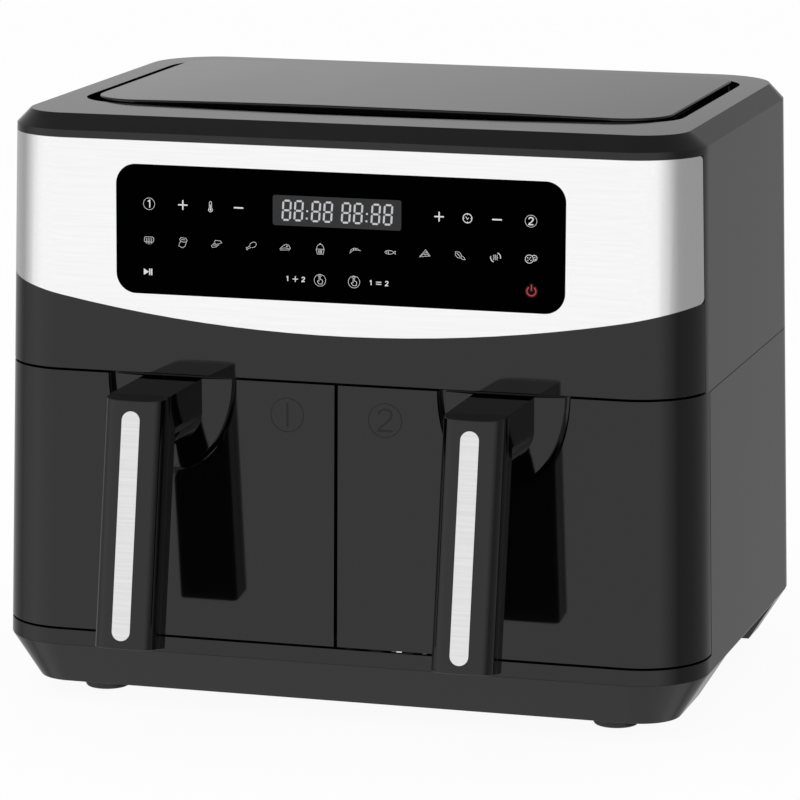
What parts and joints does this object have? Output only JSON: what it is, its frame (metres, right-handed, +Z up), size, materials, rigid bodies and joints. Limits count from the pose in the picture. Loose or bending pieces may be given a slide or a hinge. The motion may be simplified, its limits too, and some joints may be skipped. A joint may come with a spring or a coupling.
{
  "type": "air fryer",
  "caption": "Countertop air fryer with side-by-side pull-out drawers, steel front, black control glass and hanging grips.",
  "frame": {"origin": "on the floor under the middle of the housing at the drawer seam", "axes": "+Z up, +X towards the right side as seen from the front, front with the drawers towards -Y"},
  "size_m": [0.391, 0.3764, 0.3233],
  "materials": {
    "charcoal_plastic": "satin gloss charcoal moulding",
    "black_plastic": "fine matt black moulding",
    "brushed_steel_sheet": "horizontally brushed steel",
    "black_glass": "clear sheet printed black behind, fully glossy",
    "display_plastic": "grey potted display block",
    "circuit_board": "solder-masked laminate",
    "white_plastic": "natural nylon",
    "plated_sheet": "aluminised sheet",
    "screw_steel": "zinc plated",
    "heating_tube": "oxidised heating tube",
    "guard_wire": "nickel plated wire",
    "motor_steel": "zinc plated can",
    "wheel_aluminium": "stamped wheel",
    "coated_steel": "dark non-stick coating",
    "black_rubber": "matt silicone rubber"
  },
  "bodies": {
    "housing": {"base_tray": "charcoal_plastic", "feet": "black_rubber", "lower_housing": "charcoal_plastic", "upper_housing": "charcoal_plastic", "top_cover": "charcoal_plastic", "top_plate": "charcoal_plastic", "front_fascia": "charcoal_plastic", "steel_front": "brushed_steel_sheet", "control_glass": "black_glass", "display_module": "display_plastic", "control_board": "circuit_board", "control_frame": "white_plastic", "deck": "plated_sheet", "power_board": "circuit_board", "rear_cover": "black_plastic", "cord_gland": "black_plastic", "case_screws": "screw_steel", "chamber_left": "plated_sheet", "glides_left": "white_plastic", "heater_left": "heating_tube", "heater_guard_left": "guard_wire", "motor_left": "motor_steel", "sensor_left": "guard_wire", "switch_left": "black_plastic", "chamber_right": "plated_sheet", "glides_right": "white_plastic", "heater_right": "heating_tube", "heater_guard_right": "guard_wire", "motor_right": "motor_steel", "sensor_right": "guard_wire", "switch_right": "black_plastic"},
    "rotor_left": {"hot_wheel_left": "wheel_aluminium", "cool_wheel_left": "black_plastic", "shaft_left": "screw_steel"},
    "drawer_left": {"drawer_front_left": "charcoal_plastic", "drawer_inner_left": "black_plastic", "pan_left": "coated_steel", "handle_left": "black_plastic", "grip_cover_left": "charcoal_plastic", "grip_strip_left": "brushed_steel_sheet", "handle_screws_left": "screw_steel"},
    "crisper_left": {"crisper_left": "coated_steel", "crisper_pads_left": "black_rubber"},
    "rotor_right": {"hot_wheel_right": "wheel_aluminium", "cool_wheel_right": "black_plastic", "shaft_right": "screw_steel"},
    "drawer_right": {"drawer_front_right": "charcoal_plastic", "drawer_inner_right": "black_plastic", "pan_right": "coated_steel", "handle_right": "black_plastic", "grip_cover_right": "charcoal_plastic", "grip_strip_right": "brushed_steel_sheet", "handle_screws_right": "screw_steel"},
    "crisper_right": {"crisper_right": "coated_steel", "crisper_pads_right": "black_rubber"}
  },
  "joints": [
    {"name": "drawer_left_slide", "type": "slide", "parent": "housing", "child": "drawer_left", "axis": [0, -1, 0], "range_m": [0, 0.205]},
    {"name": "crisper_left_lift", "type": "slide", "parent": "drawer_left", "child": "crisper_left", "axis": [0, 0, 1], "range_m": [0, 0.12]},
    {"name": "fan_left_spin", "type": "hinge", "parent": "housing", "child": "rotor_left", "pos_m": [-0.0917, -0.013, 0.25], "axis": [0, 0, 1], "continuous": true},
    {"name": "drawer_right_slide", "type": "slide", "parent": "housing", "child": "drawer_right", "axis": [0, -1, 0], "range_m": [0, 0.205]},
    {"name": "crisper_right_lift", "type": "slide", "parent": "drawer_right", "child": "crisper_right", "axis": [0, 0, 1], "range_m": [0, 0.12]},
    {"name": "fan_right_spin", "type": "hinge", "parent": "housing", "child": "rotor_right", "pos_m": [0.0917, -0.013, 0.25], "axis": [0, 0, 1], "continuous": true}
  ]
}
